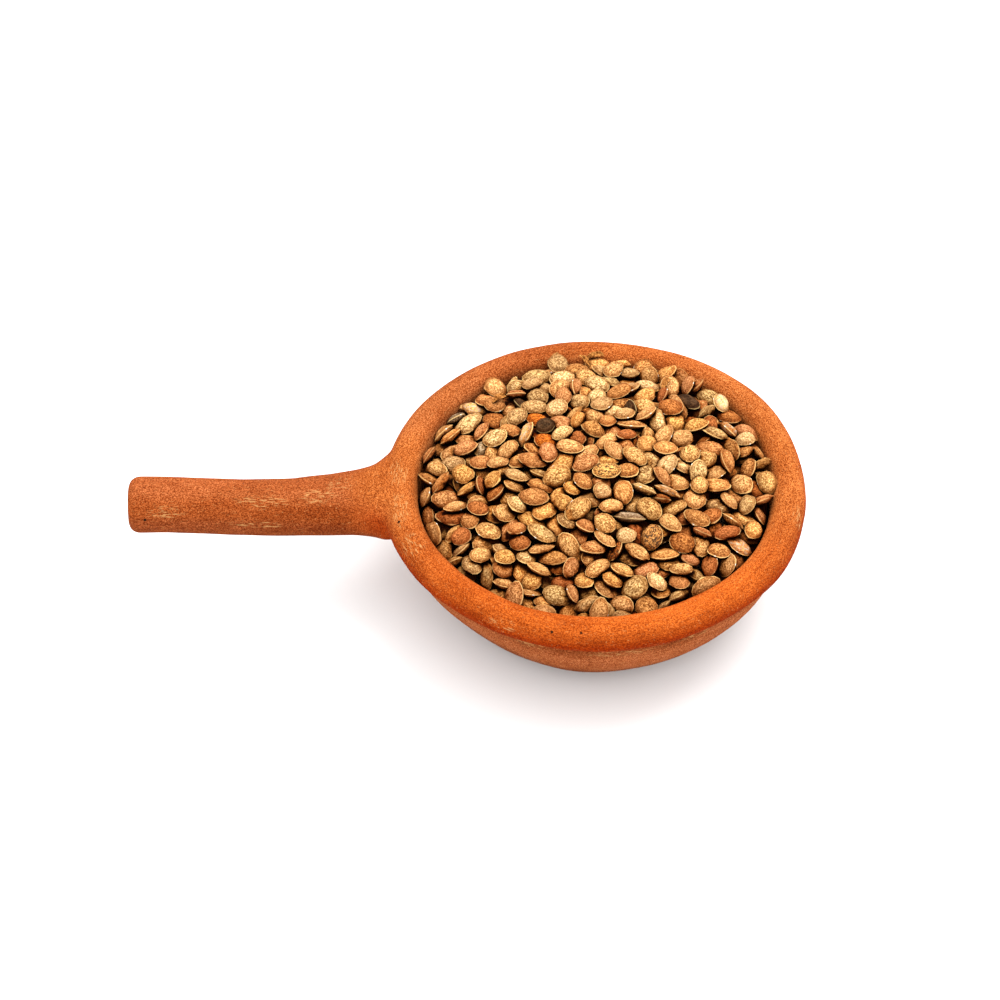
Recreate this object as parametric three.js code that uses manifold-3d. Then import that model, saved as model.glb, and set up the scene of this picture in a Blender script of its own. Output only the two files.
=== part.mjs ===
// A small round earthenware bowl with a rolled rim and one straight rod handle,
// heaped with dry horse gram. Millimetres, +Z up. The origin is the centre of
// the flat foot that the bowl stands on, and the handle points along -X.
import * as THREE from "three";
import { mergeVertices } from "three/addons/utils/BufferGeometryUtils.js";
import Module from "manifold-3d";

// Driving dimensions of the bowl.
const HEIGHT = 30; // floor to the top of the rim
const RIM_OUTER_R = 48;
const LIP_R = 4; // half the thickness of the rolled lip
const LIP_UNDER = 3; // how far the lip rolls down below its middle
const FOOT_R = 27;
const FOOT_ROUND = 1; // how far the belly starts outside the foot
const CREASE = { r: 44.9, z: 23 }; // where the belly meets the rolled lip
const FLOOR_THICKNESS = 6;
const FLOOR_SAG = 0.4; // how much the floor dips off its middle
const BOWL_SIDES = 56;

// Driving dimensions of the handle.
const TIP_X = -105.8;
const BAR_R = 6.15; // half the thickness of the plain bar
const BAR_Z = 22.2; // height of the bar's centre line at its middle
const ROOT_X = -43.6; // where the handle ends, inside the lip
const HANDLE_SIDES = 16;
const HANDLE_SQUARENESS = 0.88; // 1 is an ellipse, smaller is squarer

// Driving dimensions of the heap and of one gram.
const HEAP_PEAK = 35.4; // height of the top grams' middles, at the axis
const HEAP_FALL = 0.0056; // how fast the mound falls: mm for each mm2 from the axis
const HEAP_TILT_X = 0.045; // the heap is higher on the side away from the handle
const HEAP_TILT_Y = 0.06; // and towards +Y
const GAP = 0.3; // between the heap and the clay
const CORE_SUNK = 0.7; // the core's top lies this far below the grams' middles
const CORE_SIDES = 28;
const CORE_RINGS_R = [30, 19, 8]; // rings of the core's top, inside its edge
const GRAM = { length: 6.2, width: 4.7, thickness: 2.8 }; // corner to corner
const GRAM_SPACING = 4;
const GRAM_TRIES = 12000;
const GRAM_LEAN = 30; // degrees off the mound's slope, at most
const GRAM_JUMBLE = 0.8; // mm of height between the highest and the lowest
const WALL_REACH = 1.6; // grams' middles stay this far inside the lip
const WALL_ZONE = 5; // within this of the lip a gram is checked for a touch
const NUDGE = { step: 0.4, most: 8 }; // mm and times a gram is moved inwards
const SLIVER = 0.03; // edges shorter than this are closed up

// Derived places.
const LIP_MID_R = RIM_OUTER_R - LIP_R;
const LIP_Z = HEIGHT - LIP_R;
const MOUTH_R = LIP_MID_R - LIP_R;
const degrees = THREE.MathUtils.degToRad;

const wasm = await Module();
wasm.setup();

// A repeatable stream of random numbers from 0 to 1.
function seededRandom(seed) {
  let state = seed;
  return () => {
    state = (state + 0x6d2b79f5) | 0;
    let t = Math.imul(state ^ (state >>> 15), 1 | state);
    t = (t + Math.imul(t ^ (t >>> 7), 61 | t)) ^ t;
    return ((t ^ (t >>> 14)) >>> 0) / 4294967296;
  };
}

// A closed three.js geometry as a solid that can be joined and cut.
function toSolid(geometry) {
  const bare = geometry.clone();
  bare.deleteAttribute("normal");
  bare.deleteAttribute("uv");
  const merged = mergeVertices(bare, 1e-3);
  return new wasm.Manifold(
    new wasm.Mesh({
      numProp: 3,
      vertProperties: new Float32Array(merged.attributes.position.array),
      triVerts: new Uint32Array(merged.index.array),
    }),
  );
}

// A solid as a three.js geometry with flat-shaded faces.
function toGeometry(solid) {
  const mesh = solid.getMesh();
  const positions = new Float32Array(mesh.numVert * 3);
  for (let i = 0; i < mesh.numVert; i++) {
    const start = i * mesh.numProp;
    positions.set(mesh.vertProperties.subarray(start, start + 3), i * 3);
  }
  const geometry = new THREE.BufferGeometry();
  geometry.setAttribute("position", new THREE.BufferAttribute(positions, 3));
  geometry.setIndex(new THREE.BufferAttribute(mesh.triVerts, 1));
  geometry.computeVertexNormals();
  return geometry;
}

// A closed skin through rings of points that all have the same count. The
// first and last rings are closed by a fan round their own middle.
function skin(rings) {
  const sides = rings[0].length;
  const points = rings.flat();
  const faces = [];
  for (let r = 0; r + 1 < rings.length; r++) {
    for (let s = 0; s < sides; s++) {
      const a = r * sides + s;
      const b = r * sides + ((s + 1) % sides);
      faces.push(a, b, a + sides, b, b + sides, a + sides);
    }
  }
  for (const [ring, first, turned] of [
    [rings[0], 0, true],
    [rings.at(-1), (rings.length - 1) * sides, false],
  ]) {
    const middle = points.length;
    const sum = ring.reduce((m, p) => m.add(p), new THREE.Vector3());
    points.push(sum.divideScalar(sides));
    for (let s = 0; s < sides; s++) {
      const a = first + s;
      const b = first + ((s + 1) % sides);
      faces.push(...(turned ? [b, a, middle] : [a, b, middle]));
    }
  }
  const geometry = new THREE.BufferGeometry().setFromPoints(points);
  geometry.setIndex(faces);
  return geometry;
}

// Points of an arc of the rolled lip, from one angle to another in degrees
// round the lip's middle. The lip is flatter below its middle than above it.
function lipArc(from, to, steps) {
  return Array.from({ length: steps + 1 }, (_, i) => {
    const angle = degrees(from + ((to - from) * i) / steps);
    const rise = Math.sin(angle) > 0 ? LIP_R : LIP_UNDER;
    return new THREE.Vector2(
      LIP_MID_R + LIP_R * Math.cos(angle),
      LIP_Z + rise * Math.sin(angle),
    );
  });
}

// The inner wall of the bowl, from the lip down to the middle of its floor.
const innerWall = new THREE.CubicBezierCurve(
  new THREE.Vector2(MOUTH_R, LIP_Z),
  new THREE.Vector2(39.7, 13),
  new THREE.Vector2(33, FLOOR_THICKNESS - FLOOR_SAG),
  new THREE.Vector2(0, FLOOR_THICKNESS),
);

// The bowl's section: flat foot, full belly, crease under the lip, lip, inside.
function bowlProfile() {
  const belly = new THREE.CubicBezierCurve(
    new THREE.Vector2(FOOT_R + FOOT_ROUND, 0.6),
    new THREE.Vector2(36, 3),
    new THREE.Vector2(44.2, 13),
    new THREE.Vector2(CREASE.r, CREASE.z),
  );
  return [
    new THREE.Vector2(0, 0),
    new THREE.Vector2(FOOT_R, 0),
    ...belly.getPoints(7),
    ...lipArc(-60, 180, 8),
    ...innerWall.getPoints(8).slice(1),
  ];
}

// One cross-section of the handle: x, the middle's y and z, and half sizes.
const HANDLE_SECTIONS = [
  { x: TIP_X, y: 0, z: 23, w: 4.3, h: 4.3 },
  { x: TIP_X + 0.7, y: 0, z: 23, w: 5.4, h: 5.4 },
  { x: TIP_X + 2.4, y: 0, z: 22.9, w: BAR_R, h: BAR_R },
  { x: -97, y: 0, z: 22.7, w: BAR_R, h: BAR_R },
  { x: -80, y: 0, z: BAR_Z, w: BAR_R, h: BAR_R - 0.1 },
  { x: -68, y: 0.2, z: BAR_Z + 0.2, w: 6.6, h: 6.3 },
  { x: -60, y: 0.7, z: BAR_Z + 0.6, w: 7.5, h: 6.5 },
  { x: -54, y: 1.4, z: BAR_Z + 1, w: 9, h: 6.7 },
  { x: -50, y: 1.7, z: BAR_Z + 1.2, w: 10.8, h: 6.5 },
  { x: -47, y: 1.8, z: BAR_Z + 1.5, w: 12.6, h: 5.9 },
  { x: ROOT_X, y: 1.8, z: BAR_Z + 2.2, w: 13, h: 4.2 },
];

// A rounded-square section, as a rod rolled by hand and pressed a little flat.
function handleRing({ x, y, z, w, h }) {
  const bulge = (value) =>
    Math.sign(value) * Math.abs(value) ** HANDLE_SQUARENESS;
  return Array.from({ length: HANDLE_SIDES }, (_, i) => {
    const angle = (2 * Math.PI * i) / HANDLE_SIDES;
    return new THREE.Vector3(
      x,
      y + w * bulge(Math.cos(angle)),
      z + h * bulge(Math.sin(angle)),
    );
  });
}

// Bowl and handle are one piece of clay.
function clayBowl() {
  const bowl = new THREE.LatheGeometry(bowlProfile(), BOWL_SIDES);
  bowl.rotateX(Math.PI / 2);
  const handle = skin(HANDLE_SECTIONS.map(handleRing));
  return toSolid(bowl).add(toSolid(handle));
}

// Height of the top grams' middles above the point x, y.
function heapHeight(x, y) {
  const tilt = HEAP_TILT_X * x + HEAP_TILT_Y * y;
  return HEAP_PEAK + tilt - HEAP_FALL * (x * x + y * y);
}

// The heap's bare core: a mound that follows the inside of the bowl.
function heapCore() {
  const edgeR = MOUTH_R - 1;
  const ringAt = (radius, heightOf) =>
    Array.from({ length: CORE_SIDES }, (_, i) => {
      const angle = (2 * Math.PI * i) / CORE_SIDES;
      const x = radius * Math.cos(angle);
      const y = radius * Math.sin(angle);
      return new THREE.Vector3(x, y, heightOf(x, y));
    });
  const lowest = heapHeight(-edgeR, -edgeR) - CORE_SUNK;
  const below = innerWall
    .getPoints(9)
    .slice(0, -1)
    .filter((p) => p.y < lowest - 1.5)
    .reverse()
    .map((p) => ringAt(p.x - GAP, () => p.y + 2 * GAP));
  const above = [edgeR, ...CORE_RINGS_R].map((radius) =>
    ringAt(radius, (x, y) => heapHeight(x, y) - CORE_SUNK),
  );
  return toSolid(skin([...below, ...above]));
}

// Places of the grams that show: random, but never closer than the spacing.
function gramPlaces(random) {
  const places = [];
  const reach = MOUTH_R - WALL_REACH;
  for (let tries = 0; tries < GRAM_TRIES; tries++) {
    const radius = reach * Math.sqrt(random());
    const angle = 2 * Math.PI * random();
    const x = radius * Math.cos(angle);
    const y = radius * Math.sin(angle);
    const clear = places.every(
      (p) => Math.hypot(p.x - x, p.y - y) > GRAM_SPACING,
    );
    if (clear) places.push({ x, y });
  }
  return places;
}

// One gram: a flat lens, turned and leant as it fell, on the mound's slope.
function gramAt({ x, y }, random) {
  const vary = (value, share) => value * (1 + share * (2 * random() - 1));
  const lens = new THREE.IcosahedronGeometry(0.5);
  lens.scale(
    vary(GRAM.length, 0.12),
    vary(GRAM.width, 0.1),
    vary(GRAM.thickness, 0.12),
  );
  lens.rotateZ(2 * Math.PI * random());
  const leanWay = 2 * Math.PI * random();
  const lean = degrees(GRAM_LEAN) * random();
  const leanAxis = new THREE.Vector3(Math.cos(leanWay), Math.sin(leanWay), 0);
  lens.applyMatrix4(new THREE.Matrix4().makeRotationAxis(leanAxis, lean));
  const slope = new THREE.Vector3(
    2 * HEAP_FALL * x - HEAP_TILT_X,
    2 * HEAP_FALL * y - HEAP_TILT_Y,
    1,
  ).normalize();
  const up = new THREE.Vector3(0, 0, 1);
  const onSlope = new THREE.Quaternion().setFromUnitVectors(up, slope);
  lens.applyQuaternion(onSlope);
  const lift = GRAM_JUMBLE * (random() - 0.4);
  lens.translate(x, y, heapHeight(x, y) + lift);
  return toSolid(lens);
}

// The mound with its grams fused on. A gram that would touch the clay is
// moved towards the axis until it is clear.
function gramHeap(clay) {
  const random = seededRandom(12);
  const grams = [];
  for (const place of gramPlaces(random)) {
    let gram = gramAt(place, random);
    if (Math.hypot(place.x, place.y) > MOUTH_R - WALL_ZONE) {
      const step = new THREE.Vector2(place.x, place.y).setLength(-NUDGE.step);
      for (let moves = 0; moves < NUDGE.most; moves++) {
        if (gram.minGap(clay, 2 * GAP) >= GAP) break;
        gram = gram.translate([step.x, step.y, 0]);
      }
      if (gram.minGap(clay, 2 * GAP) < GAP) continue;
    }
    grams.push(gram);
  }
  const heap = wasm.Manifold.union([heapCore(), ...grams]).simplify(SLIVER);
  return heap.decompose().sort((a, b) => b.volume() - a.volume())[0];
}

const terracotta = new THREE.MeshStandardMaterial({
  color: new THREE.Color(0xd06c35),
  roughness: 0.85,
  metalness: 0,
});
const gramSkins = new THREE.MeshStandardMaterial({
  color: new THREE.Color(0xb07a44),
  roughness: 0.6,
  metalness: 0,
});

const clay = clayBowl();
const bowlMesh = new THREE.Mesh(toGeometry(clay), terracotta);
bowlMesh.name = "clay_bowl";
const heapMesh = new THREE.Mesh(toGeometry(gramHeap(clay)), gramSkins);
heapMesh.name = "gram_heap";

const part = new THREE.Group();
part.add(bowlMesh, heapMesh);
export default part;
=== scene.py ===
"""A small terracotta bowl with a rod handle, heaped with dry horse gram.

Sizes of the object are given in millimetres. Blender's own lengths are metres,
so each size is multiplied by MM where it goes into a mesh. The camera, the room
and the places in the materials are in metres.
"""

import math
import random

import bpy
import numpy as np
from mathutils import Matrix, Vector


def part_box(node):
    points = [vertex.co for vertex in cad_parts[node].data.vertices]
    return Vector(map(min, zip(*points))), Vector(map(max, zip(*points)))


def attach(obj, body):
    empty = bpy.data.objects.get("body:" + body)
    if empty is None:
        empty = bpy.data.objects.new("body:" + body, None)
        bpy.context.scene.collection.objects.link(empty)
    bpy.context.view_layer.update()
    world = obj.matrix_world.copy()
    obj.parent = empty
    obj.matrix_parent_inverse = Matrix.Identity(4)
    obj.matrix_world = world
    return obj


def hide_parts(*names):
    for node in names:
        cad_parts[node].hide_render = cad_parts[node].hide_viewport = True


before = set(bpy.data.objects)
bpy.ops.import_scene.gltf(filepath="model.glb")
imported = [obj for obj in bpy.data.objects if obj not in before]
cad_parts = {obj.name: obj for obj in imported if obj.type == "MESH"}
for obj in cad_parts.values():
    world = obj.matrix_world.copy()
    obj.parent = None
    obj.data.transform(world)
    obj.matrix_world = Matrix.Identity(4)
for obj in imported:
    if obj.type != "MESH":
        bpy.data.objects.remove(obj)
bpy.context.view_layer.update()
MM = 0.001

# The camera, in metres, at the photo's angle: it looks down 45 degrees.
CAMERA_PLACE = (-0.0213, -0.6459, 0.6798)
CAMERA_DOWN = 45.46
CAMERA_LENS = 146.0
CAMERA_SENSOR = 36.0

# The room: an even white sky, one large soft lamp and a pale floor.
SKY_STRENGTH = 2.25
LAMP_PLACE = (0.6, 0.75, 1.5)
LAMP_SIZE = 1.4
LAMP_WATTS = 30
FLOOR_SIZE = 6
FLOOR_TONE = 0.70

# The bowl, as it was thrown.
HEIGHT = 30.0
LIP_MID_R = 44.0
LIP_R = 4.0
LIP_UNDER = 3.0
LIP_Z = HEIGHT - LIP_R
FOOT_R = 27.0
FLOOR_THICKNESS = 6.0
FOOT_ROUND = (FOOT_R + 1, 0.6)
BOWL_SIDES = 128
CLAY_GRAIN = 0.6  # size of the smallest form in the clay

# Where the handle is luted on and smoothed over by hand.
NECK_PLACE = (-47.5, 1.8, 24)
NECK_SQUASH = (1.2, 0.75, 1.0)
NECK_REACH = 14
NECK_FADE = 5
NECK_SMOOTHING = 21  # times over
HAND_DENTS = 0.5  # how deep the dents of the hand go
HAND_DENT_SIZE = 16

HANDLE_SIDES = 32
HANDLE_END_ROUND = 2.4
# The handle: x, the middle's y and z, and half its width and height.
HANDLE_SECTIONS = [
    (-43.6, 0.9, 24.4, 13.0, 4.2),
    (-47.0, 0.7, 23.7, 12.5, 6.1),
    (-50.0, 0.1, 23.2, 9.6, 6.7),
    (-54.0, -0.2, 22.9, 8.2, 6.8),
    (-60.0, -0.6, 22.4, 7.5, 6.6),
    (-68.0, -0.8, 21.9, 6.75, 6.55),
    (-80.0, -0.5, 21.7, 6.4, 6.4),
    (-97.0, -0.3, 22.2, 6.45, 6.45),
    (-105.6, -0.5, 22.4, 6.45, 6.45),
]

# Where the soft bowl was pushed out of round: the place, how far, and the reach.
PUSHES = [
    ((36.8, 30.8, 26.0), (0.75, 0.6), 34.0),
    ((-26.0, -33.0, 10.0), (0.9, 0.9), 24.0),
    ((37.5, -25.0, 17.0), (0.7, -0.3), 20.0),
]

# The heap: its peak, how fast it falls off with the square of the radius, and
# how it is tilted along x and y.
HEAP_PEAK = 35.4
HEAP_FALL = 0.0056
HEAP_TILT_X = 0.045
HEAP_TILT_Y = 0.06
LOOSE_DEPTH = 5.0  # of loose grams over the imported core
WALL_GAP = 0.2  # between the grams and the lip
MOUTH_R = 41.5  # no gram's middle lies further out
HIGHEST = 37.4  # and no point of a gram higher

# How the grams are laid.
GRAM_MODELS = 20
MOST_GRAMS = 760
HEAP_LOW = 0.6  # the middles of the top grams under the heap's own height
# How far a gram's middle may stick out over that, when filling and when closing
# gaps, and how much lower than it should be the ground has to be for a gram.
STICK_OUT = (0.7, 1.6)
LEAST_DEPTH = (0.35, 1.0)
NESTLE = 0.2  # how far grams press into each other
SCATTER_R = 41  # how far out the grams are dropped
CLOSING_R = 40.2  # and how far out the gaps are closed
DROPS = 30  # places that are tried for each gram
MOST_MISSES = 200  # in a row, and the heap is full
ASKEW_SHARE = 0.08  # of the grams lie askew
SPLIT_SHARE = 0.012  # of the grams have come apart in halves
CLOSING_SIZE = 0.94  # of the grams that close gaps, against the others
LEVEL_TOP = 33  # higher ground than this is the lip, and counts as this high


# ---------------------------------------------------------------- the camera
def set_camera():
    data = bpy.data.cameras.new("camera")
    data.lens = CAMERA_LENS
    data.sensor_width = CAMERA_SENSOR
    data.clip_start = 0.05
    camera = bpy.data.objects.new("camera", data)
    camera.location = CAMERA_PLACE
    camera.rotation_euler = (math.radians(90 - CAMERA_DOWN), 0, 0)
    bpy.context.scene.collection.objects.link(camera)
    bpy.context.scene.camera = camera


# ------------------------------------------------------------- small helpers
def select_only(*pieces):
    bpy.ops.object.select_all(action="DESELECT")
    for piece in pieces:
        piece.select_set(True)
    bpy.context.view_layer.objects.active = pieces[0]


def edit(on=True):
    bpy.ops.object.mode_set(mode="EDIT" if on else "OBJECT")


def points_of(mesh):
    flat = np.empty(len(mesh.vertices) * 3)
    mesh.vertices.foreach_get("co", flat)
    return flat.reshape(-1, 3)


def set_points(mesh, points):
    mesh.vertices.foreach_set("co", np.asarray(points, float).ravel())
    mesh.update()


def pick_points(piece, chosen):
    """Selects the vertices whose numbers are true in chosen, in edit mode."""
    edit(False)
    mesh = piece.data
    mesh.polygons.foreach_set("select", [False] * len(mesh.polygons))
    mesh.edges.foreach_set("select", [False] * len(mesh.edges))
    mesh.vertices.foreach_set("select", np.asarray(chosen, bool))
    edit()


def settle_place(piece):
    """Puts the piece's place, turn and scale into its mesh."""
    select_only(piece)
    bpy.ops.object.transform_apply(location=True, rotation=True, scale=True)


def apply_modifier(piece, kind, **settings):
    select_only(piece)
    modifier = piece.modifiers.new(kind.lower(), kind)
    for name, value in settings.items():
        setattr(modifier, name, value)
    bpy.ops.object.modifier_apply(modifier=modifier.name)


def raise_rings(rings):
    """Draws the selected ring up through the others, each a radius and a height."""
    radius, height = rings[0]
    for r, z in rings[1:]:
        bpy.ops.mesh.extrude_region_move(
            TRANSFORM_OT_translate={"value": (0, 0, (z - height) * MM)}
        )
        bpy.ops.transform.resize(
            value=(r / radius, r / radius, 1), center_override=(0, 0, z * MM)
        )
        radius, height = r, z


def bezier(p0, p1, p2, p3, steps):
    """Points of a cubic curve, the first one left out."""
    found = []
    for i in range(1, steps + 1):
        t = i / steps
        weights = ((1 - t) ** 3, 3 * t * (1 - t) ** 2, 3 * t * t * (1 - t), t**3)
        found.append(
            tuple(
                sum(w * p[k] for w, p in zip(weights, (p0, p1, p2, p3)))
                for k in (0, 1)
            )
        )
    return found


# ------------------------------------------------------------------ the clay
def bowl_profile():
    """Radius and height from the foot's edge over the lip to the inside's middle."""
    belly = bezier(FOOT_ROUND, (36, 3), (44.2, 12), (44.3, 22.4), 14)
    lip = []
    for degrees in range(-75, 181, 15):
        angle = math.radians(degrees)
        rise = LIP_R if degrees > 0 else LIP_UNDER
        lip.append(
            (LIP_MID_R + LIP_R * math.cos(angle), LIP_Z + rise * math.sin(angle))
        )
    inside = bezier(
        (LIP_MID_R - LIP_R, LIP_Z),
        (39.7, 13),
        (33, FLOOR_THICKNESS - 0.4),
        (1.0, FLOOR_THICKNESS),
        18,
    )
    return [(FOOT_R, 0.0), FOOT_ROUND] + belly + lip + inside


def throw_bowl():
    """The bowl, raised ring by ring from its foot, over the lip and down inside."""
    bpy.ops.object.select_all(action="DESELECT")
    bpy.ops.mesh.primitive_circle_add(
        vertices=BOWL_SIDES, radius=FOOT_R * MM, fill_type="NGON"
    )
    bowl = bpy.context.object
    edit()
    bpy.ops.mesh.select_all(action="SELECT")
    raise_rings(bowl_profile())
    bpy.ops.mesh.select_all(action="SELECT")
    bpy.ops.mesh.remove_doubles(threshold=1e-6)
    bpy.ops.mesh.normals_make_consistent(inside=False)
    for place, (dx, dy), reach in PUSHES:
        edit(False)
        away = np.linalg.norm(points_of(bowl.data) / MM - place, axis=1)
        pick_points(bowl, away <= away.min() + 1e-3)
        bpy.ops.transform.translate(
            value=(dx * MM, dy * MM, 0),
            use_proportional_edit=True,
            proportional_size=reach * MM,
            proportional_edit_falloff="SMOOTH",
        )
    edit(False)
    return bowl


def roll_handle():
    """The rod handle, drawn out section by section from inside the lip."""
    x, y, z, w, h = HANDLE_SECTIONS[0]
    bpy.ops.object.select_all(action="DESELECT")
    bpy.ops.mesh.primitive_circle_add(
        vertices=HANDLE_SIDES,
        radius=MM,
        fill_type="NGON",
        location=(x * MM, y * MM, z * MM),
        rotation=(0, math.pi / 2, 0),
    )
    handle = bpy.context.object
    settle_place(handle)
    edit()
    bpy.ops.mesh.select_all(action="SELECT")
    bpy.ops.transform.resize(
        value=(1, w, h), center_override=(x * MM, y * MM, z * MM)
    )
    here = (x, y, z, w, h)
    for section in HANDLE_SECTIONS[1:]:
        x, y, z, w, h = section
        move = [(b - a) * MM for a, b in zip(here[:3], section[:3])]
        bpy.ops.mesh.extrude_region_move(TRANSFORM_OT_translate={"value": move})
        bpy.ops.transform.resize(
            value=(1, w / here[3], h / here[4]),
            center_override=(x * MM, y * MM, z * MM),
        )
        here = section
    bpy.ops.mesh.bevel(offset=HANDLE_END_ROUND * MM, segments=5, affect="EDGES")
    bpy.ops.mesh.select_all(action="SELECT")
    bpy.ops.mesh.normals_make_consistent(inside=False)
    edit(False)
    return handle


def shape_clay():
    """Bowl and handle luted together and smoothed by hand into one piece."""
    bowl = throw_bowl()
    handle = roll_handle()
    select_only(bowl, handle)
    bpy.ops.object.join()
    clay = bpy.context.object
    clay.name = clay.data.name = "thrown_bowl"
    apply_modifier(
        clay, "REMESH", mode="VOXEL", voxel_size=CLAY_GRAIN * MM, adaptivity=0
    )
    apply_modifier(clay, "SMOOTH", factor=0.5, iterations=2)
    points = points_of(clay.data)
    away = np.linalg.norm((points / MM - NECK_PLACE) * NECK_SQUASH, axis=1)
    share = np.clip((NECK_REACH - away) / NECK_FADE, 0, 1)
    neck = clay.vertex_groups.new(name="neck")
    for i in np.nonzero(away < NECK_REACH)[0]:
        neck.add([int(i)], float(share[i]), "REPLACE")
    apply_modifier(clay, "SMOOTH", factor=0.5, iterations=NECK_SMOOTHING, vertex_group="neck")
    dents = bpy.data.textures.new("hand_dents", "CLOUDS")
    dents.noise_scale = HAND_DENT_SIZE * MM
    dents.noise_depth = 1
    apply_modifier(
        clay, "DISPLACE", texture=dents, strength=HAND_DENTS * MM, mid_level=0.5
    )
    low, high = np.array(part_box("clay_bowl"))
    set_points(clay.data, np.clip(points_of(clay.data), low + 1e-6, high - 1e-6))
    clay.data.shade_smooth()
    clay.vertex_groups.clear()
    return clay


# ----------------------------------------------------------------- the grams
# The rings of a ball that make it a lens: their height, and how far each is
# drawn wider and taller.
GRAM_RINGS = {0.4330: (1.16, 1.02), 0.2500: (1.0, 0.84)}
SPLIT_MODELS = 2  # so many of the models are halves
SPLIT_HEIGHT = -0.12


def model_gram(number, luck):
    """One gram 1 mm long, wide and thick: a flat lens with a blunt rim."""
    bpy.ops.object.select_all(action="DESELECT")
    bpy.ops.mesh.primitive_uv_sphere_add(segments=14, ring_count=6, radius=0.5)
    gram = bpy.context.object
    gram.name = gram.data.name = f"gram_model_{number:02d}"
    edit()
    for height, (wide, tall) in GRAM_RINGS.items():
        away = np.abs(points_of(gram.data)[:, 2])
        pick_points(gram, np.isclose(away, height, atol=0.01))
        bpy.ops.transform.resize(
            value=(wide, wide, tall), center_override=(0, 0, 0)
        )

    pick_points(gram, np.abs(points_of(gram.data)[:, 2]) < 0.01)
    bpy.ops.mesh.mark_sharp()

    def pull(place, move, reach):
        edit(False)
        away = np.linalg.norm(points_of(gram.data) - place, axis=1)
        pick_points(gram, away <= away.min() + 1e-4)
        bpy.ops.transform.translate(
            value=move,
            use_proportional_edit=True,
            proportional_size=reach,
            proportional_edit_falloff="SMOOTH",
        )

    habit = number % 6
    if habit == 1:  # drawn out to a point at one end
        pull((0.5, 0, 0), (0.05, luck.uniform(-0.05, 0.05), 0), 0.45)
    elif habit == 2:  # kidney shaped
        pull((0, -0.5, 0), (luck.uniform(-0.06, 0.06), 0.13, 0), 0.4)
    elif habit == 3:  # squared off at one end
        pull((0.5, 0, 0), (-0.09, 0, 0), 0.5)
        pull((0.3, 0.4, 0), (0.05, 0.07, 0), 0.3)
    elif habit == 4:  # pressed on a slant
        pull((0.35, 0.35, 0), (-0.08, -0.08, 0), 0.4)
    elif habit == 5:  # pointed at both ends
        pull((0.5, 0, 0), (0.03, 0, 0), 0.4)
        pull((-0.5, 0, 0), (-0.03, 0, 0), 0.4)
    for _ in range(5):  # hollows and swellings of the two faces
        turn = luck.uniform(0, 2 * math.pi)
        side = luck.choice((-0.45, 0.45))
        pull(
            (0.26 * math.cos(turn), 0.26 * math.sin(turn), side),
            (0, 0, luck.uniform(-0.16, 0.06) * math.copysign(1, side)),
            luck.uniform(0.3, 0.45),
        )
    for _ in range(4):  # and an uneven, wavy rim
        turn = luck.uniform(0, 2 * math.pi)
        out = luck.uniform(-0.06, 0.05)
        pull(
            (0.5 * math.cos(turn), 0.5 * math.sin(turn), 0),
            (out * math.cos(turn), out * math.sin(turn), luck.uniform(-0.12, 0.12)),
            luck.uniform(0.25, 0.4),
        )
    if number < SPLIT_MODELS:  # half a gram, flat where it came apart
        bpy.ops.mesh.select_all(action="SELECT")
        bpy.ops.mesh.bisect(
            plane_co=(0, 0, SPLIT_HEIGHT),
            plane_no=(0.1, 0, 1),
            use_fill=True,
            clear_inner=True,
        )
    edit(False)
    gram.data.shade_smooth()
    return gram


def heap_height(x, y):
    """The heap's own even height, highest towards the back and the right."""
    return HEAP_PEAK + HEAP_TILT_X * x + HEAP_TILT_Y * y - HEAP_FALL * (x * x + y * y)


# The bowl's inside as radius and height, and a fence so that no gram lies past
# the middle of the lip.
INNER_WALL = [(0, -5), (33, FLOOR_THICKNESS), (36.5, 12), (38.6, 17), (39.3, 21.5)]
BEYOND_LIP = [(43.0, 60), (80, 60)]
# Each point looks for open sky in so many directions, at these distances.
SKY_TURNS = 16
SKY_REACHES = (0.7, 1.3, 2.2, 3.4)
COVERED = (0.3, 0.8)  # how deep under the grams a point begins to be, and is, covered


class Ground:
    """The height of what lies in the bowl so far, over a fine grid, in mm."""

    def __init__(self, cell=0.3, half=46.0):
        self.cell, self.half = cell, half
        self.count = int(2 * half / cell) + 1
        line = np.arange(self.count) * cell - half
        x, y = np.meshgrid(line, line, indexing="ij")
        wall = INNER_WALL + [(LIP_MID_R - LIP_R + 0.05, LIP_Z)]
        reach = LIP_R + WALL_GAP
        for degrees in range(165, 104, -15):
            angle = math.radians(degrees)
            wall.append((LIP_MID_R + reach * math.cos(angle), LIP_Z + reach * math.sin(angle)))
        wall += BEYOND_LIP
        self.height = np.maximum(
            heap_height(x, y) - LOOSE_DEPTH, np.interp(np.hypot(x, y), *zip(*wall))
        )

    def spot(self, x, y):
        """The cell of the grid that each place falls in."""
        i = ((x + self.half) / self.cell + 0.5).astype(int)
        j = ((y + self.half) / self.cell + 0.5).astype(int)
        return np.clip(i, 0, self.count - 1), np.clip(j, 0, self.count - 1)

    def read(self, x, y):
        return self.height[self.spot(x, y)]

    def cover(self, points):
        """Raises the ground to these points where they are higher."""
        np.maximum.at(self.height, self.spot(points[:, 0], points[:, 1]), points[:, 2])

    def shut(self, points):
        """How far each point is shut in by what lies round it: 0 open, 1 covered."""
        x, y, z = points.T
        sky = np.zeros(len(points))
        for k in range(SKY_TURNS):
            turn = 2 * math.pi * k / SKY_TURNS
            slope = np.zeros(len(points))
            for far in SKY_REACHES:
                rise = self.read(x + far * math.cos(turn), y + far * math.sin(turn)) - z
                slope = np.maximum(slope, rise / far)
            sky += 1 / (1 + slope**2) / SKY_TURNS
        cover = (self.read(x, y) - z - COVERED[0]) / (COVERED[1] - COVERED[0])
        cover = np.clip(cover, 0, 1)
        return 1 - sky * (1 - cover)


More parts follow.
